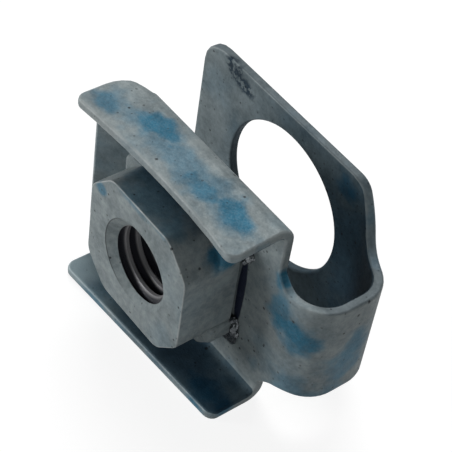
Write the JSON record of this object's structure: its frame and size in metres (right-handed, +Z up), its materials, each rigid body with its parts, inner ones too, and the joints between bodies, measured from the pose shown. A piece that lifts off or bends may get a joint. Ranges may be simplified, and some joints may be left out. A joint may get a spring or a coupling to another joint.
{
  "type": "clip-on weld nut",
  "caption": "Square nut welded to a folded sheet-steel clip that slides over a panel's edge, so that a bolt can be screwed in from the other side.",
  "frame": {"origin": "middle of the nut's thread, on its axis", "axes": "+Y along the thread, from the nut's open face towards the clip's back leg; +X from the clip's mouth towards its U-bend; +Z up, with the lower flange below the nut"},
  "size_m": [0.0367, 0.0211, 0.0274],
  "materials": {
    "clip_zinc": "dull zinc plating with blue tinted patches",
    "nut_zinc": "dull zinc plating with a few blue tinted patches"
  },
  "bodies": {
    "root": {"clip": "clip_zinc", "weld_nut": "nut_zinc"}
  },
  "joints": []
}
